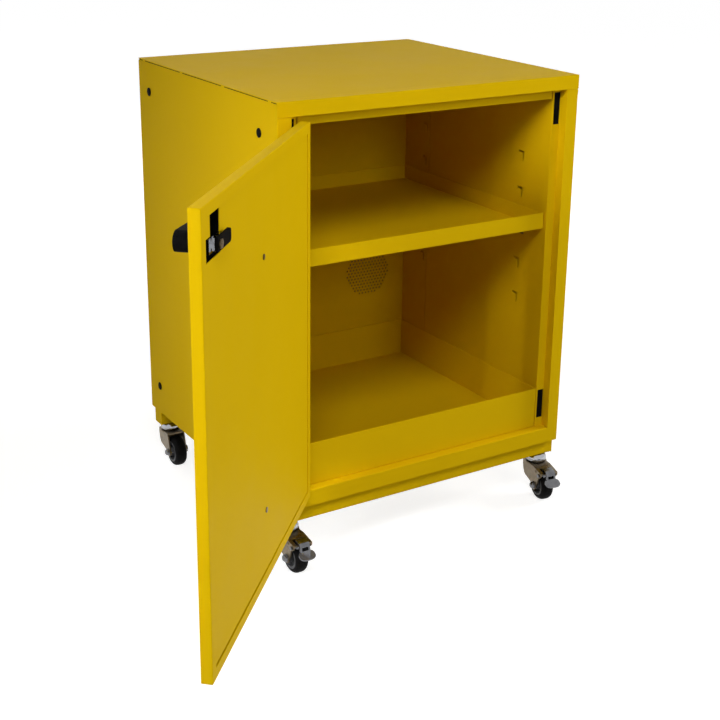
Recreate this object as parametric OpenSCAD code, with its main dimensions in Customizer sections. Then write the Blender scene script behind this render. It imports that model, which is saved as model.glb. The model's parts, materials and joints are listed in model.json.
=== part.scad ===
// Underbench safety cabinet: a double-walled steel cupboard with one door, a shelf and a sump, on casters.
// The origin is on the floor under the middle of the body. +X is to the right, +Y to the back, +Z up.
// The door is drawn open by door_open, its place at rest.

/* [Body] */
// Width of the body
body_w = 505; // [440:1:640]
// Depth of the body, from its front face to its outer back
body_d = 455; // [400:1:560]
// Height of the body, without its base
body_h = 586; // [500:1:760]
// Thickness of the sheet steel of the body
sheet_t = 1.5; // [1:0.1:2]
// Width of a door post's front face
jamb_w = 21; // [18:0.5:30]
// Width of the door stop along each post
lip_w = 14.5; // [12:0.5:20]
// Height of the apron over the door
apron_h = 21; // [18:0.5:30]
// Height of the door stop that hangs behind the apron
head_lip_h = 14; // [10:0.5:20]
// Height of the rail under the door
rail_h = 24.5; // [20:0.5:36]
// Distance from the inner back wall's face to the outer back
back_gap = 53; // [40:1:70]
// Gap under the top panel along the side seams
seam_gap = 1.2; // [0.5:0.1:1.5]
// Length of a welded tab in a side seam
seam_tab = 9; // [6:1:20]
// Number of welded tabs in a side seam
seam_tabs = 4; // [2:1:6]

/* [Inside] */
// Height of the sump's walls
sump_h = 65; // [40:1:90]
// Height of the shelf's underside above the body's underside
shelf_lift = 351; // [240:1:400]
// Height of the shelf's raised lip
shelf_lip_h = 25; // [15:1:35]
// Distance of the shelf's front edge behind the door stop
shelf_set_back = 4; // [3:0.5:20]
// Distance of the front hook slots from the front face
hook_front = 77; // [50:1:120]
// Distance of the rear hook slots from the inner back wall
hook_back = 64; // [40:1:120]
// Spacing of the hook slots
hook_pitch = 57; // [40:1:70]
// Distance of the rear wall seam from the inner back wall
wall_seam = 73; // [70:1:110]
// Diameter of the perforated vent field
vent_d = 92; // [60:1:110]
// Distance of the vent's middle from the right inner wall
vent_inset = 75; // [62:1:90]
// Height of the vent's middle above the body's underside
vent_lift = 191; // [150:1:240]
// Diameter of one vent hole
vent_hole_d = 3.5; // [2:0.1:4]
// Spacing of the vent holes
vent_pitch = 6.4; // [6:0.1:9]
// Diameter of the vent bung's neck
bung_d = 50; // [40:1:56]

/* [Trim] */
// Diameter of a side plug's head
plug_d = 13; // [10:0.5:18]
// Distance of the front plugs from the front face
plug_front = 51; // [45:1:80]
// Distance of the rear plugs from the back
plug_back = 38; // [30:1:60]
// Distance of the plugs from the body's top and underside
plug_inset_z = 48; // [40:1:70]
// Height of a black slot in a door stop
slot_h = 48; // [36:1:60]
// Metal left between a slot and the inside
slot_edge = 2.5; // [2:0.1:4]
// Distance of the upper slots below the apron
slot_top_inset = 5; // [3:0.5:12]
// Distance of the lower slots above the rail
slot_low_inset = 14; // [6:0.5:24]

/* [Door] */
// Angle by which the door stands open at rest
door_open = 133; // [0:1:180]
// Thickness of the door
door_t = 14; // [13:0.5:18]
// Gap beside the closed door, at the hinge and at the latch
door_gap = 2; // [1.5:0.1:3]
// Gap over and under the closed door
door_gap_z = 3; // [2:0.1:4]
// Gap between the closed door and its stop
door_seat_gap = 0.5; // [0.3:0.1:1]
// Thickness of the door's sheet steel
door_sheet_t = 1.2; // [0.8:0.1:1.5]
// Width of the flange round the door's inner side
door_flange = 13.5; // [10:0.5:18]
// Width of the open notch at the latch
notch_w = 50; // [48:1:60]
// Height of the open notch at the latch
notch_h = 48; // [43:1:60]
// Width of the strip left beside the notch's upper part
notch_step = 18; // [5:0.5:20]
// Width of the open slit under the inner panel, at the door's free edge
panel_slit = 1.8; // [1:0.1:3]
// Width of the open slit under the inner panel, at the hinges
panel_slit_hinge = 0.4; // [0.2:0.1:1]
// Width of the stiffener inside the door
stiffener_w = 60; // [40:1:100]
// Distance of the door's upper screw from its top
screw_top = 115; // [90:1:150]
// Distance of the door's lower screw from its bottom
screw_bottom = 96; // [80:1:150]
// Diameter of a door screw's head
screw_head_d = 7; // [5:0.5:9]

/* [Hinges] */
// Length of one hinge
hinge_len = 80; // [60:1:110]
// Diameter of the hinge knuckles
hinge_d = 12.4; // [10:0.1:13]
// Diameter of the hinge pins
hinge_pin_d = 6; // [4:0.1:7]
// Distance of the hinge axis in front of the front face
hinge_off = 7; // [7:0.1:10]
// Width of a hinge leaf
hinge_leaf_w = 19; // [12:0.5:20]
// Thickness of a hinge leaf
hinge_leaf_t = 2.5; // [2:0.1:3]
// Distance of each hinge's middle from the door's end
hinge_inset = 95; // [70:1:140]

/* [Latch] */
// Distance of the latch axis from the door's free edge
latch_inset = 40; // [38:0.5:44]
// Distance of the latch axis below the door's top
latch_drop = 45.5; // [44:0.5:46]
// Height of the handle
handle_h = 23; // [18:0.5:26]
// Distance the handle stands out from the door
handle_out = 26; // [22:0.5:34]
// Thickness of the handle's lever
lever_t = 12; // [9:0.5:14]
// Length of the handle's lever from the latch axis
lever_len = 58; // [48:1:60]
// Diameter of the spindle
spindle_d = 10; // [8:0.1:12]
// Length of the cam from the latch axis
cam_len = 38; // [37.5:0.5:39]
// Width of the cam
cam_w = 15; // [13:0.5:16]
// Thickness of the cam
cam_t = 3.4; // [3:0.1:4]

/* [Base and casters] */
// Outside size of the square base tubes
tube_s = 25; // [25:1:40]
// Wall of the base tubes
tube_wall = 2; // [1.5:0.1:2]
// Distance of the base tubes behind the front face, and before the back
tube_inset = 9; // [0:0.5:30]
// Distance of the tube ends from the body's sides
tube_end_inset = 1.5; // [0:0.5:8]
// Distance of the swivel axes from the body's sides
caster_inset = 23; // [21:0.5:60]
// Height of a caster under its tube
caster_h = 71; // [70:0.5:90]
// Diameter of the wheels
wheel_d = 50; // [48:0.5:50]
// Width of the tyres
wheel_w = 20; // [16:0.5:24]
// Distance of the axle from the swivel axis
caster_trail = 24; // [22:0.5:30]
// Diameter of the swivel head
head_d = 33; // [24:0.5:34]
// Thickness of the fork's plate
fork_t = 2.2; // [1.8:0.1:3]
// Diameter of the axle
axle_d = 8; // [6:0.1:8]
// Turn of the front left caster
turn_fl = 0; // [-180:1:180]
// Turn of the front right caster
turn_fr = 11; // [-180:1:180]
// Turn of the rear left caster
turn_bl = 1; // [-180:1:180]
// Turn of the rear right caster
turn_br = 15; // [-180:1:180]

/* [Fits] */
// Radial clearance of turning pins in their holes
run_clear = 0.06; // [0.03:0.01:0.1]
// Radial clearance of fixed pins and of the tyres on their cores
seat_clear = 0.03; // [0.01:0.01:0.1]
// Gap between moving flat faces
move_gap = 0.4; // [0.3:0.05:0.8]
// Gap round the trays and the inserts
tray_gap = 0.5; // [0.3:0.1:1]

/* [Hidden] */

yellow = [0.86, 0.68, 0.02];
black = [0.06, 0.06, 0.07];
zinc = [0.72, 0.73, 0.74];
chrome = [0.85, 0.86, 0.88];

$fn = 64;
eps = 0.01;

// Main planes of the body
base_z = caster_h + tube_s;
top_z = base_z + body_h;
side_x = body_w / 2;
front_y = -body_d / 2;
back_y = body_d / 2;
rebate_d = door_t + door_seat_gap;
post_x = side_x - jamb_w;
mouth_x = post_x - lip_w;
stop_y = front_y + rebate_d;
head_z = top_z - apron_h;
rail_z = base_z + rail_h;
inner_y = back_y - back_gap;
wall_y = stop_y + sheet_t;

// Shelf, hook slots and clips
shelf_z = base_z + shelf_lift;
hook_slot_h = 16;
hook_slot_w = 3;
hook_bar = 12;
hook_drop = 4;
hook_rows = [-2, -1, 0, 1, 2];
clip_w = 20;
clip_reach = 14;
clip_t = 2;
clip_hook_gap = 0.2;

// Side plugs and slot inserts
plug_neck_r = plug_d / 2 - 1.5;
plug_crown = 1.6;
insert_d = 6;
insert_margin = 2;
slot_w = lip_w - slot_edge;

// Vent
vent_x = mouth_x - vent_inset;
vent_z = base_z + vent_lift;
sleeve_wall = 2;
sleeve_r = vent_d / 2 + 5;
arrestor_t = 3;
bung_flange = 5;
bung_flange_t = 3;
bung_neck = 12;

// Spacers between the two skins
spacer_w = 36;
spacer_t = 1.5;

// Door, drawn closed and then turned by at_door()
door_x = post_x - door_gap;
door_z0 = rail_z + door_gap_z;
door_z1 = head_z - door_gap_z;
door_h = door_z1 - door_z0;
door_back_y = front_y + door_t;
door_panel_y = door_back_y - 2 * door_sheet_t;
door_core_d = door_t - 3 * door_sheet_t;
stiffener_foot = 14;
stiffener_end = 18;
screw_r = 2;
screw_head_t = door_sheet_t;
screw_zs = [door_z0 + screw_bottom, door_z1 - screw_top];

// Hinge axis and halves
hinge_x = -(post_x - door_gap / 2);
hinge_y = front_y - hinge_off;
washer_t = 1;
hinge_half = (hinge_len - washer_t) / 2;
hinge_zs = [door_z0 + hinge_inset - hinge_len / 2, door_z1 - hinge_inset - hinge_len / 2];

// Latch axis and its pieces, stacked outwards and inwards from the door
latch_x = door_x - latch_inset;
latch_z = door_z1 - latch_drop;
housing_w = 34;
housing_h = 16;
housing_out = 3;
escutcheon_d = 30;
escutcheon_t = 3;
stud_d = 6;
nut_af = 9.5;
nut_t = 2;
cam_corner = 4;
cam_heel = 2;
flange_t = 1.8;
cam_y = door_back_y + housing_out + move_gap;
spindle_in = cam_y - move_gap / 2;
handle_y0 = front_y - escutcheon_t - move_gap;
handle_y1 = front_y - handle_out;
spindle_sink = 4;
lever_tip_h = 17;

// Casters: swivel axes, and heights above the floor
caster_x = side_x - caster_inset;
tube_y = back_y - tube_inset - tube_s / 2;
wheel_r = wheel_d / 2;
crown_gap = 4.8;
crown_z = wheel_d + crown_gap + fork_t;
crown_r = head_d / 2 + 1;
head_z0 = crown_z + move_gap;
head_ball = 7;
head_arc = [-35, 70];
neck_r = 12;
neck_h = 1.2;
crown_slope = 8;
stem_d = 10;
stem_len = 16;
king_d = 8;
rivet_d = 14;
rivet_t = 3;
caster_nut_af = 16;
caster_nut_t = 8;
hub_gap = 1;
leg_x = wheel_w / 2 + 2 + hub_gap;
hub_half = leg_x - hub_gap;
rim_r = wheel_r - 7.5;
hub_r = 7.5;
web_t = 6;
rim_wall = 3;
tread_round = [6.5, 8];
axle_head_r = 6;
axle_head_t = 3;
axle_dome = [5.2, 2.6, 3.6];
leg_end_r = 7.5;
nose_plain = -2;
nose_braked = 22;
nose_drop = 5;
tail_y = 14;
tail_drop = 12;
tail_low = 5;
leg_rivet_r = 2;
leg_rivet_t = 0.8;
leg_rivet = [-caster_trail - 5, crown_z - 6.5];

// Brake pedal: its pivot, and a strip that comes up through the crown and folds down to the toe
pedal_barrel_r = 2.4;
pedal_pin_r = 1.7;
pedal_pivot = [-caster_trail - 16, wheel_r + 23];
pedal_w = 16;
pedal_t = 2.4;
pedal_lift = 2.2;
pedal_rise = crown_top(pedal_pivot[0]) + pedal_lift - pedal_pivot[1];
pedal_slot_w = 19;
pedal_slot = [-2.8, 9.5];
pin_head_r = 2.8;
pin_head_t = 1.6;
toe_w = 25;
toe_len = 16.6;
toe_power = 0.72;
strip_hole = [5, -2, 2.8];
toe_tilt = 26;
ear_r = 4.5;

function round_corner(cx, cy, r, a0, a1, steps) =
    [for (i = [0 : steps]) let (a = a0 + (a1 - a0) * i / steps) [cx + r * cos(a), cy + r * sin(a)]];

function from_pivot(y, z) = pedal_pivot + [y, z];

function rounded(v) = sign(v) * pow(abs(v), toe_power);

// Height of the fork's crown: level under the swivel head, then falling towards the nose
function crown_top(y) = crown_z - max(0, -y - crown_r) * tan(crown_slope);

module block(p, q) {
    translate(p) cube([q[0] - p[0], q[1] - p[1], q[2] - p[2]]);
}

module both_sides() {
    children();
    mirror([1, 0, 0]) children();
}

// A cylinder from y0 to y1, along +Y
module along_y(x, z, y0, y1, r) {
    translate([x, y0, z]) rotate([-90, 0, 0]) cylinder(r = r, h = y1 - y0);
}

// A cylinder from x0 to x1, along +X
module along_x(y, z, x0, x1, r) {
    translate([x0, y, z]) rotate([0, 90, 0]) cylinder(r = r, h = x1 - x0);
}

// Extrudes a profile in the Y-Z plane from x0 to x1
module slab_x(x0, x1) {
    translate([x0, 0, 0]) rotate([90, 0, 90]) linear_extrude(x1 - x0) children();
}

// Outer shell

module stop_slot(z0) {
    block([mouth_x + slot_edge, stop_y - eps, z0], [post_x, wall_y + eps, z0 + slot_h]);
}

module plug_places() {
    for (y = [front_y + plug_front, back_y - plug_back], z = [base_z + plug_inset_z, top_z - plug_inset_z])
        translate([side_x, y, z]) rotate([0, 90, 0]) children();
}

module side_panel() {
    wall_top = top_z - sheet_t - seam_gap;
    tab_span = (body_d - 2 * jamb_w) / (seam_tabs - 1);
    difference() {
        union() {
            block([side_x - sheet_t, front_y, base_z], [side_x, back_y, wall_top]);
            for (i = [0 : seam_tabs - 1])
                translate([side_x - sheet_t, front_y + jamb_w + i * tab_span - seam_tab / 2, wall_top - eps])
                    cube([sheet_t, seam_tab, seam_gap + eps]);
            block([post_x, front_y, base_z], [side_x, front_y + sheet_t, head_z]);
            block([post_x, front_y, rail_z], [post_x + sheet_t, wall_y, head_z]);
            block([mouth_x, stop_y, rail_z], [post_x + sheet_t, wall_y, head_z]);
        }
        block([side_x - sheet_t - eps, front_y - eps, head_z], [side_x + eps, front_y + sheet_t, top_z]);
        stop_slot(rail_z + slot_low_inset);
        stop_slot(head_z - slot_top_inset - slot_h);
        plug_places() translate([0, 0, -2 * sheet_t]) cylinder(r = plug_neck_r + seat_clear, h = 3 * sheet_t);
    }
}

module left_side_panel() {
    color(yellow) mirror([1, 0, 0]) side_panel();
}

module right_side_panel() {
    color(yellow) side_panel();
}

module top_panel() {
    fold_x = side_x - sheet_t - tray_gap;
    lip_x = mouth_x - slot_edge;
    color(yellow) union() {
        block([-side_x, front_y, top_z - sheet_t], [side_x, back_y, top_z]);
        block([-side_x, front_y, head_z], [side_x, front_y + sheet_t, top_z]);
        block([-fold_x, front_y, head_z], [fold_x, wall_y, head_z + sheet_t]);
        block([-lip_x, stop_y, head_z - head_lip_h], [lip_x, wall_y, head_z + sheet_t]);
    }
}

module back_panel() {
    color(yellow) difference() {
        block([-side_x + sheet_t, back_y - sheet_t, base_z + sheet_t], [side_x - sheet_t, back_y, top_z - sheet_t]);
        along_y(vent_x, vent_z, back_y - 2 * sheet_t, back_y + sheet_t, bung_d / 2 + seat_clear);
    }
}

module floor_panel() {
    color(yellow) union() {
        block([-side_x + sheet_t, front_y + sheet_t, base_z], [side_x - sheet_t, back_y, base_z + sheet_t]);
        block([-post_x, front_y, base_z], [post_x, front_y + sheet_t, rail_z]);
        block([-post_x, front_y, rail_z - sheet_t], [post_x, wall_y, rail_z]);
    }
}

module side_plug() {
    cylinder(r = plug_neck_r, h = 3 * sheet_t);
    translate([0, 0, 2 * sheet_t])
        rotate_extrude()
            polygon(concat([[0, 0], [plug_d / 2, 0], [plug_d / 2, plug_crown / 2]],
                           [[plug_d / 2 - plug_crown, plug_crown], [0, plug_crown]]));
}

module side_plugs() {
    color(black) both_sides() plug_places() translate([0, 0, -2 * sheet_t]) side_plug();
}

module frame_slot_inserts() {
    color(black) both_sides()
        for (z = [rail_z + slot_low_inset, head_z - slot_top_inset - slot_h])
            block([mouth_x + sheet_t + tray_gap, wall_y, z - insert_margin],
                  [post_x + sheet_t, wall_y + insert_d, z + slot_h + insert_margin]);
}

// Inner skin

module inner_floor() {
    color(yellow) block([-mouth_x - sheet_t, wall_y, rail_z - sheet_t], [mouth_x + sheet_t, inner_y + sheet_t, rail_z]);
}

module hook_columns() {
    for (y = [front_y + hook_front, inner_y - hook_back], row = hook_rows)
        translate([mouth_x, y, shelf_z - hook_drop - hook_slot_h + row * hook_pitch]) children();
}

module inner_wall() {
    seam_w = 1;
    seam_d = sheet_t / 2;
    difference() {
        block([mouth_x, wall_y, rail_z], [mouth_x + sheet_t, inner_y, head_z]);
        hook_columns() {
            translate([-eps, -hook_slot_w / 2, 0]) cube([sheet_t + 2 * eps, hook_slot_w, hook_slot_h]);
            translate([-eps, -hook_slot_w / 2, hook_slot_h - hook_slot_w])
                cube([sheet_t + 2 * eps, hook_bar, hook_slot_w]);
        }
        translate([mouth_x - eps, inner_y - wall_seam, rail_z - eps]) cube([seam_d, seam_w, body_h]);
    }
}

module left_inner_wall() {
    color(yellow) mirror([1, 0, 0]) inner_wall();
}

module right_inner_wall() {
    color(yellow) inner_wall();
}

module inner_back_wall() {
    rows = floor(vent_d / vent_pitch);
    field_r = (vent_d - vent_hole_d) / 2;
    row_step = vent_pitch * sqrt(3) / 2;
    color(yellow) difference() {
        block([-mouth_x - sheet_t, inner_y, rail_z], [mouth_x + sheet_t, inner_y + sheet_t, head_z]);
        for (j = [-rows : rows], i = [-rows : rows]) {
            x = vent_pitch * (i + (abs(j) % 2) / 2);
            z = row_step * j;
            if (norm([x, z]) <= field_r)
                along_y(vent_x + x, vent_z + z, inner_y - sheet_t, inner_y + 2 * sheet_t, vent_hole_d / 2, $fn = 16);
        }
    }
}

module inner_ceiling() {
    color(yellow) block([-mouth_x - sheet_t, wall_y, head_z], [mouth_x + sheet_t, inner_y + sheet_t, head_z + sheet_t]);
}

// Z sections that hold the two skins apart
module cavity_spacers() {
    x0 = mouth_x + sheet_t;
    x1 = side_x - sheet_t;
    y0 = inner_y + sheet_t;
    y1 = back_y - sheet_t;
    z0 = base_z + sheet_t;
    z1 = rail_z - sheet_t;
    side_y = (front_y + hook_front + inner_y - hook_back) / 2;
    color(yellow) {
        both_sides() {
            block([x0, side_y, rail_z], [x0 + spacer_t, side_y + spacer_w, head_z]);
            block([x0, side_y, rail_z], [x1, side_y + spacer_t, head_z]);
            block([x1 - spacer_t, side_y - spacer_w, rail_z], [x1, side_y + spacer_t, head_z]);
        }
        for (x = [-mouth_x / 2, 0]) {
            block([x - spacer_w, y0, rail_z], [x, y0 + spacer_t, head_z]);
            block([x - spacer_t, y0, rail_z], [x, y1, head_z]);
            block([x - spacer_t, y1 - spacer_t, rail_z], [x + spacer_w, y1, head_z]);
        }
        both_sides() {
            block([mouth_x / 2, wall_y, z1 - spacer_t], [mouth_x / 2 + spacer_w, inner_y, z1]);
            block([mouth_x / 2, wall_y, z0], [mouth_x / 2 + spacer_t, inner_y, z1]);
            block([mouth_x / 2 - spacer_w, wall_y, z0], [mouth_x / 2 + spacer_t, inner_y, z0 + spacer_t]);
        }
    }
}

// An open tray of sheet steel, from its outside corners
module tray(p, q) {
    difference() {
        block(p, q);
        block([p[0] + sheet_t, p[1] + sheet_t, p[2] + sheet_t], [q[0] - sheet_t, q[1] - sheet_t, q[2] + eps]);
    }
}

module sump_tray() {
    x = mouth_x - tray_gap;
    color(yellow) tray([-x, stop_y + tray_gap, rail_z], [x, inner_y - tray_gap, rail_z + sump_h]);
}

module shelf_tray() {
    x = mouth_x - tray_gap;
    color(yellow) tray([-x, wall_y + shelf_set_back, shelf_z], [x, inner_y - tray_gap, shelf_z + shelf_lip_h]);
}

// A clip hooks into one slot of the inner wall and carries the shelf on its tongue
module shelf_clips() {
    hook_w = hook_slot_w - 2 * clip_hook_gap;
    color(zinc) both_sides()
        for (y = [front_y + hook_front, inner_y - hook_back])
            translate([mouth_x, y, shelf_z]) {
                translate([-clip_reach, -clip_w / 2, -clip_t]) cube([clip_reach, clip_w, clip_t]);
                translate([-clip_t, -clip_w / 2, -hook_slot_h - hook_drop])
                    cube([clip_t, clip_w, hook_slot_h + hook_drop]);
                translate([-eps, -hook_w / 2, -hook_slot_h - hook_drop + clip_hook_gap])
                    cube([sheet_t + clip_t, hook_w, hook_slot_h - 2 * clip_hook_gap - hook_slot_w]);
            }
}

module vent_sleeve() {
    color(zinc) difference() {
        along_y(vent_x, vent_z, inner_y + sheet_t, back_y - sheet_t, sleeve_r);
        along_y(vent_x, vent_z, inner_y, back_y, sleeve_r - sleeve_wall);
    }
}

module flame_arrestor() {
    color(zinc) along_y(vent_x, vent_z, inner_y + sheet_t, inner_y + sheet_t + arrestor_t,
                        sleeve_r - sleeve_wall - seat_clear);
}

module vent_bung() {
    color(black) union() {
        along_y(vent_x, vent_z, back_y - bung_neck, back_y + bung_flange_t, bung_d / 2);
        along_y(vent_x, vent_z, back_y, back_y + bung_flange_t, bung_d / 2 + bung_flange);
    }
}

// Base

// A square base tube; side is -1 at the front and 1 at the back
module base_tube(side) {
    x = side_x - tube_end_inset - tube_wall;
    y = side * tube_y;
    color(yellow) difference() {
        block([-x, y - tube_s / 2, caster_h], [x, y + tube_s / 2, base_z]);
        block([-x - eps, y - tube_s / 2 + tube_wall, caster_h + tube_wall],
              [x + eps, y + tube_s / 2 - tube_wall, base_z - tube_wall]);
        for (cx = [-caster_x, caster_x])
            translate([cx, y, caster_h - eps]) cylinder(r = stem_d / 2 + seat_clear, h = tube_wall + 2 * eps);
    }
}

module front_base_tube() {
    base_tube(-1);
}

module rear_base_tube() {
    base_tube(1);
}

module base_tube_caps() {
    x = side_x - tube_end_inset;
    color(yellow) both_sides()
        for (y = [-tube_y, tube_y])
            block([x - tube_wall, y - tube_s / 2, caster_h], [x, y + tube_s / 2, base_z]);
}

module caster_nuts() {
    color(zinc)
        for (x = [-caster_x, caster_x], y = [-tube_y, tube_y])
            translate([x, y, caster_h + tube_wall])
                difference() {
                    cylinder(d = caster_nut_af / cos(30), h = caster_nut_t, $fn = 6);
                    translate([0, 0, -eps]) cylinder(r = stem_d / 2 + seat_clear, h = caster_nut_t + 2 * eps);
                }
}

// Hinges

module at_door() {
    translate([hinge_x, hinge_y, 0]) rotate([0, 0, -door_open]) translate([-hinge_x, -hinge_y, 0]) children();
}

// Half a hinge: its leaf lies towards side (-1 is the post, 1 the door)
module hinge_half_leaf(side) {
    difference() {
        union() {
            cylinder(d = hinge_d, h = hinge_half);
            block([min(0, side * hinge_d / 2), 0, 0], [max(0, side * hinge_d / 2), hinge_off, hinge_half]);
            block([min(0, side * hinge_leaf_w), hinge_off - hinge_leaf_t, 0],
                  [max(0, side * hinge_leaf_w), hinge_off, hinge_half]);
        }
        translate([0, 0, -eps])
            cylinder(r = hinge_pin_d / 2 + (side < 0 ? seat_clear : run_clear), h = hinge_half + 2 * eps);
    }
}

module hinge_frame_leaves() {
    color(yellow) for (z = hinge_zs) translate([hinge_x, hinge_y, z]) hinge_half_leaf(-1);
}

module hinge_door_leaves() {
    color(yellow) at_door()
        for (z = hinge_zs) translate([hinge_x, hinge_y, z + hinge_half + washer_t]) hinge_half_leaf(1);
}

module hinge_pins() {
    color(zinc) for (z = hinge_zs) translate([hinge_x, hinge_y, z]) cylinder(d = hinge_pin_d, h = hinge_len);
}

module hinge_washers() {
    color(zinc)
        for (z = hinge_zs)
            translate([hinge_x, hinge_y, z + hinge_half])
                difference() {
                    cylinder(d = hinge_d, h = washer_t);
                    translate([0, 0, -eps]) cylinder(r = hinge_pin_d / 2 + seat_clear, h = washer_t + 2 * eps);
                }
}

// Door

module door_outer_pan() {
    t = door_sheet_t;
    f = door_flange;
    color(yellow) at_door() difference() {
        block([-door_x, front_y, door_z0], [door_x, door_back_y, door_z1]);
        block([-door_x + t, front_y + t, door_z0 + t], [door_x - t, door_back_y - t, door_z1 - t]);
        block([-door_x + f, door_back_y - 2 * t, door_z0 + f], [door_x - f, door_back_y + eps, door_z1 - f]);
        along_y(latch_x, latch_z, front_y - t, front_y + 2 * t, spindle_d / 2 + 1);
    }
}

module door_inner_panel() {
    edge_x = door_x - door_sheet_t - tray_gap;
    edge_z = door_sheet_t + tray_gap;
    foot_z = door_z0 + door_flange;
    color(yellow) at_door() difference() {
        translate([0, door_panel_y + door_sheet_t, 0]) rotate([90, 0, 0]) linear_extrude(door_sheet_t)
            polygon([[-edge_x, foot_z + panel_slit_hinge], [edge_x, foot_z + panel_slit],
                     [edge_x, door_z1 - edge_z], [-edge_x, door_z1 - edge_z]]);
        block([door_x - door_flange - notch_w, front_y, door_z1 - door_flange - notch_h],
              [door_x, door_back_y + eps, latch_z + housing_h / 2 + 1]);
        block([door_x - door_flange - notch_w, front_y, door_z1 - door_flange - notch_h],
              [door_x - door_flange - notch_step, door_back_y + eps, door_z1 - door_flange]);
        for (z = screw_zs) along_y(0, z, door_panel_y - eps, door_back_y, screw_r + seat_clear);
    }
}

// A hat section between the door's two skins
module door_stiffener() {
    t = door_sheet_t;
    y0 = front_y + t;
    z0 = door_z0 + stiffener_end;
    z1 = door_z1 - stiffener_end;
    w = stiffener_w / 2;
    color(yellow) at_door() difference() {
        union() {
            block([-w, door_panel_y - t, z0], [w, door_panel_y, z1]);
            both_sides() {
                block([w - t, y0, z0], [w, door_panel_y, z1]);
                block([w - t, y0, z0], [w + stiffener_foot, y0 + t, z1]);
            }
        }
        for (z = screw_zs) along_y(0, z, y0, door_panel_y + eps, screw_r + seat_clear);
    }
}

module door_screws() {
    color(zinc) at_door()
        for (z = screw_zs) {
            along_y(0, z, door_panel_y - 2 * door_sheet_t, door_panel_y + door_sheet_t + screw_head_t, screw_r);
            along_y(0, z, door_panel_y + door_sheet_t, door_panel_y + door_sheet_t + screw_head_t, screw_head_d / 2);
        }
}

// Latch, drawn on the closed door with the lever and the cam towards the hinges

module latch_housing() {
    y0 = front_y + door_sheet_t;
    y1 = door_back_y + housing_out;
    color(chrome) at_door() difference() {
        union() {
            block([latch_x - housing_w / 2, y0, latch_z - housing_h / 2],
                  [latch_x + housing_w / 2, door_back_y, latch_z + housing_h / 2]);
            along_y(latch_x, latch_z, y0, y1, housing_h / 2);
            block([latch_x - cam_w / 2, y1 - flange_t, latch_z - cam_w / 2],
                  [latch_x + cam_w / 2, y1, latch_z + cam_w / 2]);
        }
        along_y(latch_x, latch_z, front_y, y1 + eps, spindle_d / 2 + run_clear);
    }
}

module latch_escutcheon() {
    color(black) at_door() difference() {
        along_y(latch_x, latch_z, front_y - escutcheon_t, front_y, escutcheon_d / 2);
        along_y(latch_x, latch_z, front_y - 2 * escutcheon_t, front_y + eps, spindle_d / 2 + run_clear);
    }
}

module latch_spindle() {
    color(zinc) at_door() union() {
        along_y(latch_x, latch_z, handle_y0 - spindle_sink, spindle_in, spindle_d / 2);
        along_y(latch_x, latch_z, spindle_in - eps, cam_y + cam_t + nut_t + 0.4, stud_d / 2);
    }
}

// Outline of a lever that reaches towards the hinges, rounded at both ends
module lever_outline(len, r0, r1) {
    union() {
        circle(r = r0);
        translate([-len + r1, 0]) circle(r = r1);
        polygon([[0, r0], [0, -r0], [-len + r1, -r1], [-len + r1, r1]]);
    }
}

module latch_handle() {
    lever_y = handle_y1 + lever_t;
    color(black) at_door() difference() {
        union() {
            along_y(latch_x, latch_z, handle_y1, handle_y0, handle_h / 2);
            translate([latch_x, lever_y, latch_z]) rotate([90, 0, 0])
                linear_extrude(lever_t) lever_outline(lever_len, handle_h / 2, lever_tip_h / 2);
        }
        along_y(latch_x, latch_z, handle_y0 - spindle_sink, handle_y0 + eps, spindle_d / 2 + seat_clear);
    }
}

// Outline of the cam, with small corners at its heel and larger ones at its tip
module cam_outline() {
    r = cam_w / 2;
    c = cam_corner;
    h = cam_heel;
    polygon(concat(round_corner(r - h, -r + h, h, -90, 0, 4), round_corner(r - h, r - h, h, 0, 90, 4),
                   round_corner(-cam_len + c, r - c, c, 90, 180, 5),
                   round_corner(-cam_len + c, -r + c, c, 180, 270, 5)));
}

module latch_cam() {
    color(black) at_door() difference() {
        translate([latch_x, cam_y + cam_t, latch_z]) rotate([90, 0, 0]) linear_extrude(cam_t) cam_outline();
        along_y(latch_x, latch_z, cam_y - eps, cam_y + cam_t + eps, stud_d / 2 + seat_clear);
    }
}

module latch_nut() {
    color(chrome) at_door() difference() {
        translate([latch_x, cam_y + cam_t, latch_z]) rotate([-90, 0, 0])
            cylinder(d = nut_af / cos(30), h = nut_t, $fn = 6);
        along_y(latch_x, latch_z, cam_y, cam_y + cam_t + nut_t + eps, stud_d / 2 + seat_clear);
    }
}

// Casters. A caster is drawn round its swivel axis, with its wheel towards the front, and then turned.

module at_caster(side, end, turn) {
    translate([side * caster_x, end * tube_y, 0]) rotate([0, 0, -turn]) children();
}

module fl() at_caster(-1, -1, turn_fl) children();
module fr() at_caster(1, -1, turn_fr) children();
module bl() at_caster(-1, 1, turn_bl) children();
module br() at_caster(1, 1, turn_br) children();

module caster_head() {
    r = head_d / 2;
    dome_h = caster_h - head_z0;
    z_scale = (dome_h - neck_h) / (sin(head_arc[1]) - sin(head_arc[0]));
    color(chrome) union() {
        translate([0, 0, head_z0])
            rotate_extrude()
                polygon(concat([[0, 0], [neck_r, 0], [neck_r, neck_h]],
                               [for (i = [0 : 14]) let (a = head_arc[0] + (head_arc[1] - head_arc[0]) * i / 14)
                                   [r - head_ball * (1 - cos(a)), neck_h + (sin(a) - sin(head_arc[0])) * z_scale]],
                               [[0, dome_h]]));
        translate([0, 0, caster_h - eps]) cylinder(d = stem_d, h = stem_len + eps);
        translate([0, 0, crown_z - fork_t - move_gap - rivet_t])
            cylinder(d = king_d, h = head_z0 - crown_z + fork_t + 2 * rivet_t);
        translate([0, 0, crown_z - fork_t - move_gap - rivet_t]) cylinder(d = rivet_d, h = rivet_t);
    }
}

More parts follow.
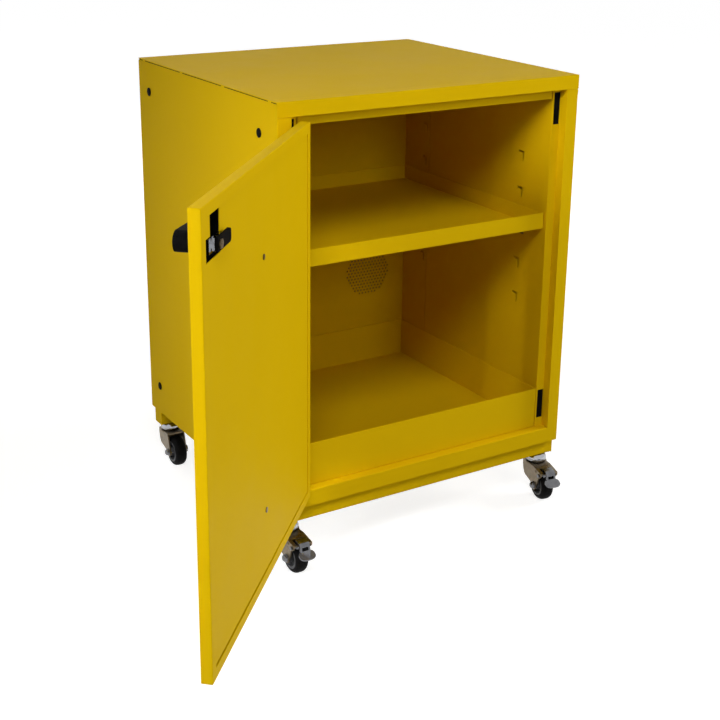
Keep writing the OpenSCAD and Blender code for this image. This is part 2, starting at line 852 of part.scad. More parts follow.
module leg_profile(braked) {
    nose = caster_trail + (braked ? nose_braked : nose_plain);
    low_z = wheel_r + tail_low;
    high_z = crown_z - tail_drop;
    polygon(concat([[tail_y, crown_z]],
                   [for (a = [0 : 15 : 90]) [tail_y * cos(a), high_z - (high_z - low_z) * sin(a)]],
                   [[-caster_trail + leg_end_r, wheel_r + 1], [-caster_trail - leg_end_r, wheel_r]],
                   braked ? [[-caster_trail - 12, wheel_r + 8], [-nose + 7.5, crown_top(-nose) - 9],
                             [-nose, crown_top(-nose) - nose_drop]] : [],
                   [[-nose, crown_top(-nose)], [-crown_r, crown_z]]));
    translate([-caster_trail, wheel_r]) circle(r = leg_end_r);
    if (braked) translate(pedal_pivot) circle(r = ear_r);
}

// Section of the web that joins the two legs behind the wheel
module web_profile() {
    low_z = wheel_r + tail_low;
    high_z = crown_z - tail_drop;
    polygon(concat([[tail_y, crown_z - fork_t / 2]],
                   [for (a = [0 : 15 : 60]) [tail_y * cos(a), high_z - (high_z - low_z) * sin(a)]],
                   [for (a = [60 : -15 : 0]) [(tail_y - fork_t) * cos(a), high_z - (high_z - low_z) * sin(a)]],
                   [[tail_y - fork_t, crown_z - fork_t / 2]]));
}

module caster_fork(braked) {
    x = leg_x + fork_t;
    nose = caster_trail + (braked ? nose_braked : nose_plain);
    color(zinc) difference() {
        union() {
            translate([0, 0, crown_z - fork_t]) cylinder(r = crown_r, h = fork_t);
            slab_x(-x, x) polygon([
                [tail_y, crown_z], [-crown_r, crown_z], [-nose, crown_top(-nose)],
                [-nose, crown_top(-nose) - fork_t], [-crown_r, crown_z - fork_t], [tail_y, crown_z - fork_t]]);
            slab_x(leg_x, x) leg_profile(braked);
            slab_x(-x, -leg_x) leg_profile(braked);
            slab_x(-x, x) web_profile();
            if (braked) both_sides()
                along_x(leg_rivet[0], leg_rivet[1], x - fork_t / 2, x + leg_rivet_t, leg_rivet_r);
        }
        translate([0, 0, crown_z - fork_t - eps]) cylinder(r = king_d / 2 + run_clear, h = fork_t + 2 * eps);
        along_x(-caster_trail, wheel_r, -x - eps, x + eps, axle_d / 2 + seat_clear);
        if (braked) {
            along_x(pedal_pivot[0], pedal_pivot[1], -x - eps, x + eps, pedal_pin_r + run_clear);
            block([-pedal_slot_w / 2, pedal_pivot[0] + pedal_slot[0], crown_top(-nose) - 2 * fork_t],
                  [pedal_slot_w / 2, pedal_pivot[0] + pedal_slot[1], crown_z + eps]);
        }
    }
}

module caster_axle() {
    x = leg_x + fork_t;
    color(zinc) union() {
        along_x(-caster_trail, wheel_r, -x - eps, x + axle_head_t, axle_d / 2);
        along_x(-caster_trail, wheel_r, x, x + axle_head_t, axle_head_r);
        translate([-x, -caster_trail, wheel_r]) rotate([0, -90, 0]) rotate_extrude($fn = 32)
            polygon(concat([[0, 0], [axle_head_r, 0], [axle_head_r, 1], [axle_dome[0], 1.4]],
                           [for (a = [0 : 15 : 90]) [axle_dome[0] * cos(a), axle_dome[1] + axle_dome[2] * sin(a)]]));
    }
}

module on_axle() {
    translate([0, -caster_trail, wheel_r]) rotate([0, 90, 0]) children();
}

module caster_wheel() {
    color(zinc) on_axle() difference() {
        union() {
            cylinder(r = hub_r, h = 2 * hub_half, center = true);
            cylinder(r = rim_r - rim_wall / 2, h = web_t, center = true);
            difference() {
                cylinder(r = rim_r, h = wheel_w, center = true);
                cylinder(r = rim_r - rim_wall, h = wheel_w + 2 * eps, center = true);
            }
        }
        cylinder(r = axle_d / 2 + run_clear, h = 2 * hub_half + 2 * eps, center = true);
    }
}

module caster_tyre() {
    h = wheel_w / 2;
    r = wheel_r - tread_round[0];
    k = h - tread_round[1];
    color(black) on_axle() rotate_extrude()
        polygon(concat([[rim_r + seat_clear, h], [rim_r + seat_clear, -h]],
                       [for (a = [-90 : 15 : 0]) [r + tread_round[0] * cos(a), -k + tread_round[1] * sin(a)]],
                       [for (a = [0 : 15 : 90]) [r + tread_round[0] * cos(a), k + tread_round[1] * sin(a)]]));
}

// The pedal before its strip is pierced
module pedal_solid() {
    p = pedal_pivot;
    h = pedal_rise;
    t = pedal_t;
    barrel_x = leg_x - move_gap;
    pin_x = leg_x + fork_t;
    toe_at = from_pivot(-12.6, -2.8);
    union() {
        along_x(p[0], p[1], -barrel_x, barrel_x, pedal_barrel_r);
        both_sides() {
            along_x(p[0], p[1], 0, pin_x + move_gap + eps, pedal_pin_r);
            along_x(p[0], p[1], pin_x + move_gap, pin_x + move_gap + pin_head_t, pin_head_r);
        }
        slab_x(-pedal_w / 2, pedal_w / 2) polygon([
            from_pivot(1.7, 0), from_pivot(2.7, h + t + 0.4), from_pivot(-8.4, h + t - 1.2),
            from_pivot(-11.2, h - 1.4), from_pivot(-14.4, -4.4), from_pivot(-12, -4.2),
            from_pivot(-9, h - 2.4), from_pivot(-7.4, h - 1.1), from_pivot(0.1, h), from_pivot(-0.9, 0)]);
        slab_x(-pedal_w / 2, pedal_w / 2) polygon([
            from_pivot(-2.2, -0.8), from_pivot(-1.8, -3.6), from_pivot(-1.2, -4),
            from_pivot(0.6, -2.9), from_pivot(2.2, -0.8)]);
        translate([0, toe_at[0], toe_at[1]]) rotate([toe_tilt, 0, 0]) translate([0, -toe_len / 2 + 1.2, -t])
            linear_extrude(t) polygon([for (a = [0 : 6 : 354])
                [toe_w / 2 * rounded(cos(a)), toe_len / 2 * rounded(sin(a))]]);
    }
}

// A pedal on two stub pins in the fork's ears; its lobe comes to the tyre when the toe is pressed
module caster_brake() {
    p = pedal_pivot;
    color(zinc) difference() {
        pedal_solid();
        block([-strip_hole[0], p[0] - 16, p[1] + strip_hole[1]],
              [strip_hole[0], p[0] - 9.5, p[1] + strip_hole[2]]);
    }
}

left_side_panel();
right_side_panel();
top_panel();
back_panel();
floor_panel();
inner_floor();
left_inner_wall();
right_inner_wall();
inner_back_wall();
inner_ceiling();
cavity_spacers();
sump_tray();
shelf_tray();
shelf_clips();
side_plugs();
frame_slot_inserts();
vent_sleeve();
flame_arrestor();
vent_bung();
front_base_tube();
rear_base_tube();
base_tube_caps();
caster_nuts();
hinge_frame_leaves();
hinge_pins();
hinge_washers();
hinge_door_leaves();
door_outer_pan();
door_inner_panel();
door_stiffener();
door_screws();
latch_housing();
latch_escutcheon();
latch_spindle();
latch_handle();
latch_cam();
latch_nut();
fl() caster_head();  // caster_fl_head
fl() caster_fork(true);  // caster_fl_fork
fl() caster_axle();  // caster_fl_axle
fl() caster_wheel();  // caster_fl_wheel
fl() caster_tyre();  // caster_fl_tyre
fr() caster_head();  // caster_fr_head
fr() caster_fork(true);  // caster_fr_fork
fr() caster_axle();  // caster_fr_axle
fr() caster_wheel();  // caster_fr_wheel
fr() caster_tyre();  // caster_fr_tyre
bl() caster_head();  // caster_bl_head
bl() caster_fork(false);  // caster_bl_fork
bl() caster_axle();  // caster_bl_axle
bl() caster_wheel();  // caster_bl_wheel
bl() caster_tyre();  // caster_bl_tyre
br() caster_head();  // caster_br_head
br() caster_fork(false);  // caster_br_fork
br() caster_axle();  // caster_br_axle
br() caster_wheel();  // caster_br_wheel
br() caster_tyre();  // caster_br_tyre
fl() caster_brake();  // caster_fl_brake
fr() caster_brake();  // caster_fr_brake
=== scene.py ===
import json
import math

import bmesh
import bpy
from mathutils import Matrix, Vector


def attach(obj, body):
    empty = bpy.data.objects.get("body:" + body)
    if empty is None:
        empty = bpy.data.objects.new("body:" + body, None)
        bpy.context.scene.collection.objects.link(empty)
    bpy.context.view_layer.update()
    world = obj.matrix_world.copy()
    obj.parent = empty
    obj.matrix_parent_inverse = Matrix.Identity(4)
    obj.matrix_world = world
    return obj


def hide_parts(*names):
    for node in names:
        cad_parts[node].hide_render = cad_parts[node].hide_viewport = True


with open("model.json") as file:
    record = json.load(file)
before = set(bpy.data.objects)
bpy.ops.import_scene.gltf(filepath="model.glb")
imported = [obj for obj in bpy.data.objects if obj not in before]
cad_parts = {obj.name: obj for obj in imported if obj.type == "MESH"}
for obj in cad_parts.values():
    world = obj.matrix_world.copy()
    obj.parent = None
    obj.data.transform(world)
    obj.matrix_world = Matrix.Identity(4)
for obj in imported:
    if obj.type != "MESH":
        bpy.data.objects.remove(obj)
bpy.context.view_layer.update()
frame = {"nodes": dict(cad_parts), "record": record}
NODES = frame["nodes"]
BODY_OF = {n: b for b, ns in frame["record"]["behaviour"]["bodies"].items() for n in ns}
SLOT_OF = {s["node"]: s["material_slot"] for s in frame["record"]["subparts"]}
MM = 0.001

# Camera, at the photograph's viewing angle

CAM_AT = Vector((-1.04833, -1.70972, 0.97823))
CAM_AZIMUTH, CAM_ELEVATION, CAM_ROLL = (math.radians(a) for a in (31.95, 17.96, 0.71))
FOCAL_PX, FRAME_PX, SENSOR_MM, SHIFT_PX = 1318.74, 720, 36, 72


def make_camera():
    data = bpy.data.cameras.new("camera")
    data.sensor_width = SENSOR_MM
    data.lens = FOCAL_PX / FRAME_PX * SENSOR_MM
    data.shift_y = -SHIFT_PX / FRAME_PX
    cam = bpy.data.objects.new("camera", data)
    a, e = CAM_AZIMUTH, CAM_ELEVATION
    forward = Vector((math.sin(a) * math.cos(e), math.cos(a) * math.cos(e), -math.sin(e)))
    right = Vector((math.cos(a), -math.sin(a), 0))
    up = right.cross(forward)
    c, s = math.cos(CAM_ROLL), math.sin(CAM_ROLL)
    axes = Matrix((right * c + up * s, up * c - right * s, -forward))
    cam.matrix_world = Matrix.Translation(CAM_AT) @ axes.transposed().to_4x4()
    bpy.context.scene.collection.objects.link(cam)
    bpy.context.scene.camera = cam


make_camera()

# Materials


class Shader:
    """A Principled material with helpers for its node tree, in object coordinates."""

    def __init__(self, name, **values):
        self.mat = bpy.data.materials.new(name)
        self.mat.use_nodes = True
        self.tree = self.mat.node_tree
        self.bsdf = self.tree.nodes["Principled BSDF"]
        self.coord = self.tree.nodes.new("ShaderNodeTexCoord").outputs["Object"]
        for key, value in values.items():
            self.bsdf.inputs[key.replace("_", " ").title().replace("Ior", "IOR")].default_value = value

    def node(self, kind, links=(), **values):
        n = self.tree.nodes.new(kind)
        for key, value in values.items():
            setattr(n, key, value)
        for socket, source in links:
            if hasattr(source, "is_output"):
                self.tree.links.new(source, n.inputs[socket])
            else:
                n.inputs[socket].default_value = source
        return n

    def noise(self, scale, detail=3.0, rough=0.55, stretch=None):
        vector = self.coord
        if stretch:
            mapping = self.node("ShaderNodeMapping", [("Vector", vector), ("Scale", stretch)])
            vector = mapping.outputs["Vector"]
        return self.node(
            "ShaderNodeTexNoise",
            [("Vector", vector), ("Scale", scale), ("Detail", detail), ("Roughness", rough)],
        ).outputs["Fac"]

    def ramp(self, fac, stops):
        n = self.node("ShaderNodeValToRGB", [("Fac", fac)])
        while len(n.color_ramp.elements) < len(stops):
            n.color_ramp.elements.new(0.5)
        for element, (pos, colour) in zip(n.color_ramp.elements, stops):
            element.position = pos
            element.color = (*colour, 1)
        return n.outputs["Color"]

    def spread(self, fac, lo, hi, frm=(0.3, 0.7)):
        return self.node(
            "ShaderNodeMapRange",
            [("Value", fac), ("From Min", frm[0]), ("From Max", frm[1]), ("To Min", lo), ("To Max", hi)],
        ).outputs["Result"]

    def mix(self, fac, a, b, blend="MIX"):
        n = self.node("ShaderNodeMix", data_type="RGBA", blend_type=blend)
        for socket, source in ((n.inputs[0], fac), (n.inputs[6], a), (n.inputs[7], b)):
            if hasattr(source, "is_output"):
                self.tree.links.new(source, socket)
            else:
                socket.default_value = source
        return n.outputs[2]

    def colour(self, source):
        self.tree.links.new(source, self.bsdf.inputs["Base Color"])

    def rough(self, source):
        self.tree.links.new(source, self.bsdf.inputs["Roughness"])

    def bump(self, *layers):
        normal = None
        for height, strength, distance in layers:
            links = [("Height", height), ("Strength", strength), ("Distance", distance)]
            if normal:
                links.append(("Normal", normal))
            normal = self.node("ShaderNodeBump", links).outputs["Normal"]
        self.tree.links.new(normal, self.bsdf.inputs["Normal"])


def powder_coat():
    s = Shader("yellow_powder_coat", specular_ior_level=0.012)
    broad = s.noise(4.5, 4)
    mottle = s.noise(260, 2)
    base = s.ramp(broad, [(0.25, (0.655, 0.420, 0.0015)), (0.75, (0.680, 0.438, 0.0020))])
    s.colour(s.mix(s.spread(mottle, 0.0, 0.05), base, (0.74, 0.49, 0.003, 1)))
    s.rough(s.spread(s.noise(14, 4), 0.44, 0.50))
    s.bump((s.noise(230, 2, 0.4), 0.03, 0.0004))
    return s.mat


# Painted shade: a darker copy of the yellow powder coat for the cabinet's inside, standing in for the shade
# there
def painted_shade_inside_coat():
    s = Shader("painted_shade_inner_coat", specular_ior_level=0.012)
    broad = s.noise(5.5, 4)
    base = s.ramp(broad, [(0.25, (0.600, 0.372, 0.0015)), (0.75, (0.660, 0.420, 0.0020))])
    s.colour(base)
    s.rough(s.spread(s.noise(14, 4), 0.48, 0.54))
    s.bump((s.noise(230, 2, 0.4), 0.03, 0.0004))
    return s.mat


def black_plastic():
    s = Shader("black_plastic", specular_ior_level=0.004)
    s.colour(s.ramp(s.noise(120, 3), [(0.3, (0.0035, 0.0035, 0.004)), (0.7, (0.007, 0.007, 0.0075))]))
    s.rough(s.spread(s.noise(700, 3), 0.34, 0.50))
    s.bump((s.noise(1900, 2), 0.10, 0.0003))
    return s.mat


def chrome():
    s = Shader("chrome_steel", metallic=1.0)
    s.colour(s.ramp(s.noise(60, 3), [(0.3, (0.36, 0.37, 0.39)), (0.7, (0.47, 0.48, 0.50))]))
    s.rough(s.spread(s.noise(320, 4, 0.7), 0.06, 0.15))
    s.bump((s.noise(900, 3), 0.03, 0.0002))
    return s.mat


def pressed_steel():
    s = Shader("pressed_steel", metallic=1.0)
    s.colour(s.ramp(s.noise(75, 4), [(0.3, (0.120, 0.122, 0.130)), (0.7, (0.205, 0.207, 0.215))]))
    s.rough(s.spread(s.noise(260, 4, 0.7), 0.16, 0.28))
    s.bump((s.noise(1000, 3), 0.04, 0.0002))
    return s.mat


def zinc():
    s = Shader("zinc_steel", metallic=1.0)
    cells = s.node("ShaderNodeTexVoronoi", [("Vector", s.coord), ("Scale", 420)]).outputs["Color"]
    tone = s.ramp(s.noise(90, 4), [(0.25, (0.130, 0.100, 0.060)), (0.75, (0.225, 0.180, 0.118))])
    s.colour(s.mix(0.05, tone, cells, "OVERLAY"))
    s.rough(s.spread(s.noise(210, 4, 0.7), 0.24, 0.40))
    s.bump((s.noise(1100, 3, 0.6), 0.05, 0.0003))
    return s.mat


def grey_plastic():
    s = Shader("grey_plastic", specular_ior_level=0.3)
    s.colour(s.ramp(s.noise(150, 3), [(0.3, (0.060, 0.061, 0.066)), (0.7, (0.088, 0.089, 0.095))]))
    s.rough(s.spread(s.noise(600, 3), 0.40, 0.58))
    s.bump((s.noise(1500, 2), 0.10, 0.0003))
    return s.mat


def rubber():
    s = Shader("black_rubber", specular_ior_level=0.05)
    s.colour(s.ramp(s.noise(160, 4), [(0.3, (0.0028, 0.0028, 0.003)), (0.7, (0.007, 0.0066, 0.0066))]))
    s.rough(s.spread(s.noise(240, 4), 0.50, 0.70))
    s.bump((s.noise(1300, 4, 0.7), 0.18, 0.0004))
    return s.mat


PAINTS = {
    "yellow_powder_coat": powder_coat(),
    "painted_shade_inner_coat": painted_shade_inside_coat(),
    "black_plastic": black_plastic(),
    "chrome_steel": chrome(),
    "pressed_steel": pressed_steel(),
    "zinc_steel": zinc(),
    "grey_plastic": grey_plastic(),
    "black_rubber": rubber(),
}
# The inner nodes that take the darker painted-shade copy of the coat
SHADED_INSIDE = (
    "inner_floor", "inner_ceiling", "left_inner_wall", "right_inner_wall", "inner_back_wall",
    "cavity_spacers",
)


def paint(obj, slot):
    obj.data.materials.clear()
    obj.data.materials.append(PAINTS[slot])


# Each node takes its slot's paint, and the inner nodes the darker painted-shade coat
for name, obj in NODES.items():
    paint(obj, "painted_shade_inner_coat" if name in SHADED_INSIDE else SLOT_OF[name])

# Pieces made from the CAD solids, with the bends and broken edges of real sheet metal and castings

WELD_M = 2e-6
PAIR_ANGLE = math.radians(0.5)
ANY_SHAPE = math.radians(180)
FLAT_COS = math.cos(math.radians(0.3))
EDGE_ANGLE, EDGE_SEGMENTS = 50, 2
CASTERS, BRAKED = ("fl", "fr", "bl", "br"), ("fl", "fr")


def solid_of(node):
    """A welded copy of a node's mesh, with its flat triangles paired into quads."""
    bm = bmesh.new()
    bm.from_mesh(NODES[node].data)
    bmesh.ops.remove_doubles(bm, verts=bm.verts, dist=WELD_M)
    bmesh.ops.join_triangles(
        bm, faces=bm.faces, angle_face_threshold=PAIR_ANGLE, angle_shape_threshold=ANY_SHAPE
    )
    return bm


def reach(face, edge):
    """How far a face extends from one of its edges."""
    a, b = (v.co for v in edge.verts)
    along = (b - a).normalized()
    return max((v.co - a - along * (v.co - a).dot(along)).length for v in face.verts)


def sharp_edges(bm, angle):
    return [e for e in bm.edges if len(e.link_faces) == 2 and e.calc_face_angle_signed(0) > angle]


def round_edges(bm, edges, width, segments):
    if edges:
        bmesh.ops.bevel(
            bm, geom=edges, offset=width, offset_type="OFFSET", segments=segments, profile=0.5,
            affect="EDGES", clamp_overlap=True, harden_normals=False,
        )


def patch_areas(bm):
    """For each face, the area of the flat patch that it belongs to."""
    areas, done = {}, set()
    for start in bm.faces:
        if start in done:
            continue
        patch, todo = [], [start]
        done.add(start)
        while todo:
            f = todo.pop()
            patch.append(f)
            for e in f.edges:
                for g in e.link_faces:
                    if g not in done and g.normal.dot(f.normal) > FLAT_COS:
                        done.add(g)
                        todo.append(g)
        area = sum(f.calc_area() for f in patch)
        areas.update((f, area) for f in patch)
    return areas


def corner_normals(bm, limit):
    """Corner normals that keep flat sheets flat and run smoothly round their bends."""
    bm.normal_update()
    areas = patch_areas(bm)
    near = math.cos(math.radians(limit))
    normals = []
    for f in bm.faces:
        for v in f.verts:
            total = Vector()
            for g in v.link_faces:
                if g.normal.dot(f.normal) > near:
                    total += g.normal * areas[g]
            normals.append(total.normalized() if total.length else f.normal.copy())
    return normals


def place(mesh, name, body, slot):
    """Puts a finished mesh in the scene, on its body and with its paint."""
    obj = bpy.data.objects.new(name, mesh)
    bpy.context.scene.collection.objects.link(obj)
    paint(obj, slot)
    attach(obj, body)
    return obj


def piece_from(bm, name, body, slot, smooth=50):
    """Makes a piece from a bmesh, with its normals joined across angles below smooth."""
    mesh = bpy.data.meshes.new(name)
    bm.faces.index_update()
    normals = corner_normals(bm, smooth)
    bm.to_mesh(mesh)
    bm.free()
    for p in mesh.polygons:
        p.use_smooth = True
    mesh.normals_split_custom_set(normals)
    return place(mesh, name, body, slot)


def dress(node, bend=0.0, edge=0.0, bend_reach=6.0, angle=40, bend_segments=4, slot=None):
    """Replaces a node by the same solid with rounded bends and small broken edges, sizes in millimetres."""
    bm = solid_of(node)
    if bend:
        wide = [
            e for e in sharp_edges(bm, math.radians(angle))
            if min(reach(f, e) for f in e.link_faces) > bend_reach * MM
        ]
        round_edges(bm, wide, bend * MM, bend_segments)
    if edge:
        round_edges(bm, sharp_edges(bm, math.radians(max(angle, EDGE_ANGLE))), edge * MM, EDGE_SEGMENTS)
    # inner nodes keep the darker painted-shade coat
    slot = slot or ("painted_shade_inner_coat" if node in SHADED_INSIDE else SLOT_OF[node])
    obj = piece_from(bm, node + "_finish", BODY_OF[node], slot)
    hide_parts(node)
    return obj


for node in ("left_side_panel", "right_side_panel", "top_panel", "floor_panel"):
    dress(node, bend=1.6, edge=0.35)
dress("door_outer_pan", bend=1.2, edge=0.3)
for node in ("sump_tray", "shelf_tray"):
    dress(node, bend=1.2, edge=0.4)
for node in ("front_base_tube", "rear_base_tube"):
    dress(node, bend=2.2, edge=0.3)
for node in ("door_inner_panel", "back_panel", "base_tube_caps", "shelf_clips"):
    dress(node, edge=0.35)
for node in ("hinge_frame_leaves", "hinge_door_leaves"):
    dress(node, edge=0.5)
for node in ("latch_housing", "latch_cam", "latch_nut", "latch_escutcheon"):
    dress(node, edge=0.6)
dress("latch_handle", bend=2.6, edge=0.6, bend_reach=7.0)
for spot in CASTERS:
    dress(f"caster_{spot}_fork", bend=1.2, edge=0.4)
    dress(f"caster_{spot}_axle", edge=0.4, slot="pressed_steel")
    dress(f"caster_{spot}_wheel", edge=0.5)
for spot in BRAKED:
    dress(f"caster_{spot}_brake", bend=1.0, edge=0.4, bend_reach=4.0, angle=25, slot="pressed_steel")

# Turned pieces of the casters

JOINT = {j["name"]: j for j in frame["record"]["behaviour"]["joints"]}


def turned(node, profile, at, axis, segments=96, crease=35):
    """Replaces a node by a profile, (radius, height along the axis) in millimetres, turned round the axis."""
    axis = Vector(axis).normalized()
    side = axis.orthogonal().normalized()
    other = axis.cross(side)
    angles = [2 * math.pi * i / segments for i in range(segments)]
    spokes = [side * math.cos(a) + other * math.sin(a) for a in angles]
    bm = bmesh.new()
    rings = []
    for r, z in profile:
        base = Vector(at) + axis * z * MM
        if r == 0:
            rings.append([bm.verts.new(base)] * segments)
        else:
            rings.append([bm.verts.new(base + spoke * r * MM) for spoke in spokes])
    closed = profile[0][0] != 0
    for low, high in zip(rings, rings[1:] + rings[:1] if closed else rings[1:]):
        for i in range(segments):
            j = (i + 1) % segments
            corners = list(dict.fromkeys((low[i], low[j], high[j], high[i])))
            if len(corners) > 2:
                bm.faces.new(corners)
    bmesh.ops.recalc_face_normals(bm, faces=bm.faces)
    for e in bm.edges:
        e.smooth = len(e.link_faces) == 2 and e.calc_face_angle(0) < math.radians(crease)
    mesh = bpy.data.meshes.new(node + "_finish")
    for f in bm.faces:
        f.smooth = True
    bm.to_mesh(mesh)
    bm.free()
    obj = place(mesh, node + "_finish", BODY_OF[node], SLOT_OF[node])
    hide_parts(node)
    return obj


RIVET_R, RIVET_Z, RIVET_ROUND = 7.0, (51.4, 54.4), 0.7
KING_R, NECK_R, NECK_Z, NECK_ROUND = 4.0, 12.0, 57.4, 0.4
STEM_R, STEM_TOP_Z, STEM_ROUND = 5.0, 87.0, 0.5
HEAD_R, HEAD_BALL, HEAD_Z = 16.5, 7.0, (58.6, 71.0)
HEAD_ARC = (math.radians(-35), math.radians(70))
HEAD_STEPS = 40
RACE_SEAM, RACE_DEPTH = (0.30, 0.37), 0.45
TYRE_HALF, TYRE_BORE, TYRE_LIP = 10.0, 17.53, 0.4
TREAD_R, TREAD_ROUND, TREAD_STEPS = 25.0, (6.5, 8.0), 15
PARTING_DEPTH, PARTING_HALF = 0.15, (0.35, 0.2)


def head_profile():
    """Swivel head: rivet and king pin, a domed ball race with its seam, and the stem."""
    (z0, z1), b, n = RIVET_Z, RIVET_ROUND, NECK_ROUND
    points = [
        (0, z0), (RIVET_R - b, z0), (RIVET_R, z0 + b), (RIVET_R, z1), (KING_R, z1), (KING_R, NECK_Z),
        (NECK_R - n, NECK_Z), (NECK_R, NECK_Z + n), (NECK_R, HEAD_Z[0]),
    ]
    low, high = (math.sin(a) for a in HEAD_ARC)
    for i in range(HEAD_STEPS + 1):
        a = HEAD_ARC[0] + (HEAD_ARC[1] - HEAD_ARC[0]) * i / HEAD_STEPS
        rise = (math.sin(a) - low) / (high - low)
        r = HEAD_R - HEAD_BALL * (1 - math.cos(a))
        if RACE_SEAM[0] < rise < RACE_SEAM[1]:
            r -= RACE_DEPTH
        points.append((r, HEAD_Z[0] + (HEAD_Z[1] - HEAD_Z[0]) * rise))
    top, c = STEM_TOP_Z, STEM_ROUND
    return points + [(STEM_R, HEAD_Z[1]), (STEM_R, top - c), (STEM_R - c, top), (0, top)]


def tyre_profile():
    """Tyre: crowned tread with a parting line, and a small lip where it meets the core."""
    half, bore, lip = TYRE_HALF, TYRE_BORE, TYRE_LIP
    rise, across = TREAD_ROUND
    arc = [math.radians(-90 + 90 * i / TREAD_STEPS) for i in range(TREAD_STEPS + 1)]
    left = [(TREAD_R - rise + rise * math.cos(a), across - half + across * math.sin(a)) for a in arc]
    outer, inner = PARTING_HALF
    low = TREAD_R - PARTING_DEPTH
    parting = [(TREAD_R, -outer), (low, -inner), (low, inner), (TREAD_R, outer)]
    right = [(r, -z) for r, z in reversed(left)]
    core = [(bore, half - lip), (bore, lip - half), (bore + lip, -half)]
    return core + left + parting + right + [(bore + lip, half)]


for spot in CASTERS:
    swivel, roll = JOINT[f"swivel_{spot}"], JOINT[f"roll_{spot}"]
    x, y = swivel["pos_m"][:2]
    turned(f"caster_{spot}_head", head_profile(), (x, y, 0), (0, 0, 1))
    turned(f"caster_{spot}_tyre", tyre_profile(), roll["pos_m"], roll["axis"])

# A black tray in the door behind the latch notch, painted shade for the notch's shadowed inside

DOOR_HINGE = Vector(JOINT["door_swing"]["pos_m"]).xy
DOOR_OPEN = math.radians(JOINT["door_swing"]["range_deg"][1])
NOTCH_X, NOTCH_Z = (164.0, 217.5), (595.0, 646.0)
SHADE_TRAY_Y, SHADE_TRAY_WALL, SHADE_TRAY_ROUND = (-225.9, -216.3), 0.6, 0.18


def at_door(x, y, z):
    """A point of the closed door, in millimetres, moved to where the open door holds it."""
    p = Vector((x, y)) * MM - DOOR_HINGE
    c, s = math.cos(-DOOR_OPEN), math.sin(-DOOR_OPEN)
    return Vector((DOOR_HINGE.x + c * p.x - s * p.y, DOOR_HINGE.y + s * p.x + c * p.y, z * MM))


def notch_shade_tray():
    """An open black tray with a rolled rim, sunk in the door's cavity as painted shade behind the notch."""
    bm = bmesh.new()

    def ring(inset, y):
        (x0, x1), (z0, z1) = NOTCH_X, NOTCH_Z
        corners = ((x0, z0, 1, 1), (x1, z0, -1, 1), (x1, z1, -1, -1), (x0, z1, 1, -1))
        return [bm.verts.new(at_door(x + sx * inset, y, z + sz * inset)) for x, z, sx, sz in corners]

    y0, y1 = SHADE_TRAY_Y
    w = SHADE_TRAY_WALL
    rings = [ring(0, y0), ring(0, y1 - w), ring(SHADE_TRAY_ROUND, y1), ring(w, y1), ring(w, y0 + w)]
    for low, high in zip(rings, rings[1:]):
        for i in range(4):
            bm.faces.new((low[i], low[(i + 1) % 4], high[(i + 1) % 4], high[i]))
    bm.faces.new(rings[0])
    bm.faces.new(rings[-1])
    bmesh.ops.recalc_face_normals(bm, faces=bm.faces)
    return piece_from(bm, "latch_notch_shade_tray", "door", "black_plastic")


notch_shade_tray()

# Painted shade: dark strips in the open seams under the top panel

SEAM_Z, SEAM_Y = (679.3, 680.5), (-224.0, 224.0)
SEAM_OUT, SEAM_IN, SEAM_HOLLOW = 252.2, 251.0, 0.1


def seam_shade_strip(side):
    """A low dark bead along one side, just inside the seam, with a slightly hollow outer face, painted shade
    for the seam's shadow.
    """
    bm = bmesh.new()
    (z0, z1), (y0, y1) = SEAM_Z, SEAM_Y
    middle = (SEAM_OUT - SEAM_HOLLOW, (z0 + z1) / 2)
    section = ((SEAM_IN, z0), (SEAM_OUT, z0), middle, (SEAM_OUT, z1), (SEAM_IN, z1))
    ends = [[bm.verts.new((side * x * MM, y * MM, z * MM)) for x, z in section] for y in (y0, y1)]
    count = len(section)
    for i in range(count):
        j = (i + 1) % count
        bm.faces.new((ends[0][i], ends[0][j], ends[1][j], ends[1][i]))
    for end in ends:
        bm.faces.new(end)
    bmesh.ops.recalc_face_normals(bm, faces=bm.faces)
    name = "left_seam_painted_shade" if side < 0 else "right_seam_painted_shade"
    return piece_from(bm, name, "cabinet", "black_plastic")


for side in (-1, 1):
    seam_shade_strip(side)

# Floor and light

FLOOR_HALF, FLOOR_GREY = 30.0, (0.42, 0.42, 0.42, 1)
FLOOR_GLOW = (0.5, 2.4, 0.80, 0.985)
AMBIENT, BACKDROP = 0.02, 1.0


def seen_directly(nodes, links):
    """A socket that is 1 for what the camera sees, also in a reflection or through glass, and 0 for light."""
    path = nodes.new("ShaderNodeLightPath")
    seen = path.outputs["Is Camera Ray"]
    for kind in ("Is Glossy Ray", "Is Transmission Ray"):
        most = nodes.new("ShaderNodeMath")
        most.operation = "MAXIMUM"
        links.new(seen, most.inputs[0])
        links.new(path.outputs[kind], most.inputs[1])
        seen = most.outputs[0]
    return seen


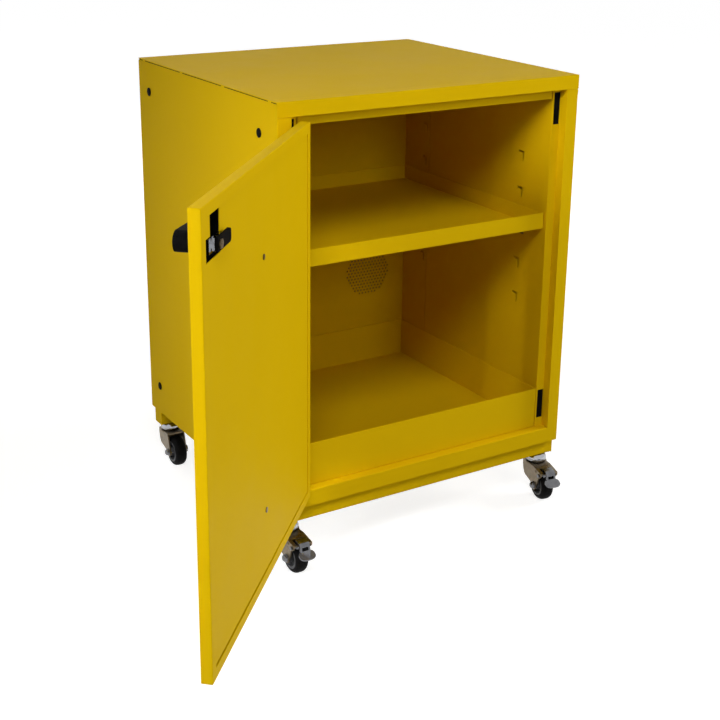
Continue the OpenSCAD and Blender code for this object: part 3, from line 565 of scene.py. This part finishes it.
def floor_paint():
    """A pale floor that keeps the shadow near the object and brightens to white away from it."""
    mat = bpy.data.materials.new("pale_floor")
    mat.use_nodes = True
    nodes, links = mat.node_tree.nodes, mat.node_tree.links
    nodes.clear()
    out = nodes.new("ShaderNodeOutputMaterial")
    diffuse = nodes.new("ShaderNodeBsdfDiffuse")
    diffuse.inputs["Color"].default_value = FLOOR_GREY
    glow = nodes.new("ShaderNodeEmission")
    spot = nodes.new("ShaderNodeTexCoord")
    away = nodes.new("ShaderNodeVectorMath")
    away.operation = "LENGTH"
    links.new(spot.outputs["Object"], away.inputs[0])
    rise = nodes.new("ShaderNodeMapRange")
    rise.interpolation_type = "SMOOTHSTEP"
    links.new(away.outputs["Value"], rise.inputs["Value"])
    for key, value in zip(("From Min", "From Max", "To Min", "To Max"), FLOOR_GLOW):
        rise.inputs[key].default_value = value
    links.new(rise.outputs["Result"], glow.inputs["Strength"])
    add = nodes.new("ShaderNodeAddShader")
    links.new(diffuse.outputs[0], add.inputs[0])
    links.new(glow.outputs[0], add.inputs[1])
    mix = nodes.new("ShaderNodeMixShader")
    links.new(seen_directly(nodes, links), mix.inputs[0])
    links.new(diffuse.outputs[0], mix.inputs[1])
    links.new(add.outputs[0], mix.inputs[2])
    links.new(mix.outputs[0], out.inputs[0])
    return mat


def flat_stage():
    h = FLOOR_HALF
    mesh = bpy.data.meshes.new("floor")
    mesh.from_pydata([(-h, -h, 0), (h, -h, 0), (h, h, 0), (-h, h, 0)], [], [(0, 1, 2, 3)])
    floor = bpy.data.objects.new("floor", mesh)
    bpy.context.scene.collection.objects.link(floor)
    floor.data.materials.append(floor_paint())


def white_world():
    world = bpy.data.worlds.new("studio")
    world.use_nodes = True
    nodes, links = world.node_tree.nodes, world.node_tree.links
    back = nodes["Background"]
    back.inputs["Color"].default_value = (1, 1, 1, 1)
    level = nodes.new("ShaderNodeMapRange")
    links.new(seen_directly(nodes, links), level.inputs["Value"])
    level.inputs["To Min"].default_value = AMBIENT
    level.inputs["To Max"].default_value = BACKDROP
    links.new(level.outputs["Result"], back.inputs["Strength"])
    bpy.context.scene.world = world


def softbox(name, at, aim, size, power, spread=180):
    """A soft lamp that isn't mirrored in the metal, with its spread in degrees."""
    data = bpy.data.lights.new(name, "AREA")
    data.shape = "RECTANGLE"
    data.size, data.size_y = size
    data.energy = power
    data.spread = math.radians(spread)
    lamp = bpy.data.objects.new(name, data)
    lamp.location = at
    lamp.rotation_mode = "QUATERNION"
    lamp.rotation_quaternion = (Vector(aim) - Vector(at)).to_track_quat("-Z", "Y")
    lamp.visible_glossy = False
    bpy.context.scene.collection.objects.link(lamp)


flat_stage()
white_world()
softbox("key_box", (-1.2, -2.0, 2.5), (-0.2, -0.2, 0.35), (0.9, 0.9), 37)
softbox("front_box", (0.3, -3.0, 1.5), (0.0, -0.2, 0.35), (0.9, 0.9), 17)
softbox("right_box", (2.7, -0.9, 1.3), (-0.1, -0.2, 0.35), (0.9, 1.2), 56)
softbox("left_box", (-2.6, -0.8, 1.2), (-0.25, -0.36, 0.35), (0.5, 0.8), 2.6, 36)
softbox("back_box", (-0.6, 3.0, 1.3), (0.0, 0.2, 0.35), (1.4, 1.2), 40)

bpy.context.scene.view_settings.view_transform = "Standard"
